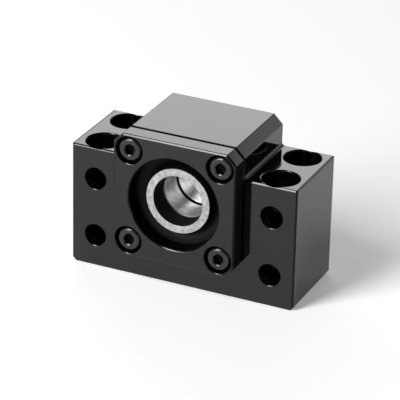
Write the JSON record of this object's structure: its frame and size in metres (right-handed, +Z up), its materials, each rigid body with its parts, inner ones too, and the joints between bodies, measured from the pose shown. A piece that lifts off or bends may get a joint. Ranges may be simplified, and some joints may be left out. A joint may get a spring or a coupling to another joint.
{
  "type": "ball screw end support",
  "caption": "T-shaped bearing block for the fixed end of a ball screw, with a square bolted lid, ground shaft collars, lip seals and crossing mounting holes.",
  "frame": {"origin": "middle of the block's bottom face, the face that is bolted down", "axes": "+X across the block's width, +Y along the shaft's axis from the lid to the back, +Z up"},
  "size_m": [0.07, 0.035, 0.0468],
  "materials": {
    "blackened_steel": "gloss black, ground",
    "screw_steel": "satin black oxide",
    "collar_steel": "ground end faces, black bore and rim",
    "bearing_steel": "ground and polished",
    "ball_steel": "mirror polished",
    "cage_plastic": "moulded",
    "seal_rubber": "matte black"
  },
  "bodies": {
    "housing": {"housing": "blackened_steel", "bearing_lid": "blackened_steel", "lid_screw_upper_left": "screw_steel", "lid_screw_upper_right": "screw_steel", "lid_screw_lower_left": "screw_steel", "lid_screw_lower_right": "screw_steel", "front_seal": "seal_rubber", "rear_seal": "seal_rubber", "front_outer_ring": "bearing_steel", "rear_outer_ring": "bearing_steel"},
    "rotor": {"front_collar": "collar_steel", "rear_collar": "collar_steel", "front_inner_ring": "bearing_steel", "rear_inner_ring": "bearing_steel"},
    "front_ball_set": {"front_cage": "cage_plastic", "front_ball_01": "ball_steel", "front_ball_02": "ball_steel", "front_ball_03": "ball_steel", "front_ball_04": "ball_steel", "front_ball_05": "ball_steel", "front_ball_06": "ball_steel", "front_ball_07": "ball_steel", "front_ball_08": "ball_steel", "front_ball_09": "ball_steel", "front_ball_10": "ball_steel", "front_ball_11": "ball_steel", "front_ball_12": "ball_steel", "front_ball_13": "ball_steel"},
    "rear_ball_set": {"rear_cage": "cage_plastic", "rear_ball_01": "ball_steel", "rear_ball_02": "ball_steel", "rear_ball_03": "ball_steel", "rear_ball_04": "ball_steel", "rear_ball_05": "ball_steel", "rear_ball_06": "ball_steel", "rear_ball_07": "ball_steel", "rear_ball_08": "ball_steel", "rear_ball_09": "ball_steel", "rear_ball_10": "ball_steel", "rear_ball_11": "ball_steel", "rear_ball_12": "ball_steel", "rear_ball_13": "ball_steel"}
  },
  "joints": [
    {"name": "shaft_spin", "type": "hinge", "parent": "housing", "child": "rotor", "pos_m": [0, 0, 0.028], "axis": [0, 1, 0], "continuous": true},
    {"name": "front_cage_spin", "type": "hinge", "parent": "housing", "child": "front_ball_set", "pos_m": [0, -0.0055, 0.028], "axis": [0, 1, 0], "continuous": true},
    {"name": "rear_cage_spin", "type": "hinge", "parent": "housing", "child": "rear_ball_set", "pos_m": [0, 0.0035, 0.028], "axis": [0, 1, 0], "continuous": true}
  ],
  "couplings": [
    {"joint": "front_cage_spin", "follows": "shaft_spin", "ratio": 0.4122},
    {"joint": "rear_cage_spin", "follows": "shaft_spin", "ratio": 0.4122}
  ]
}
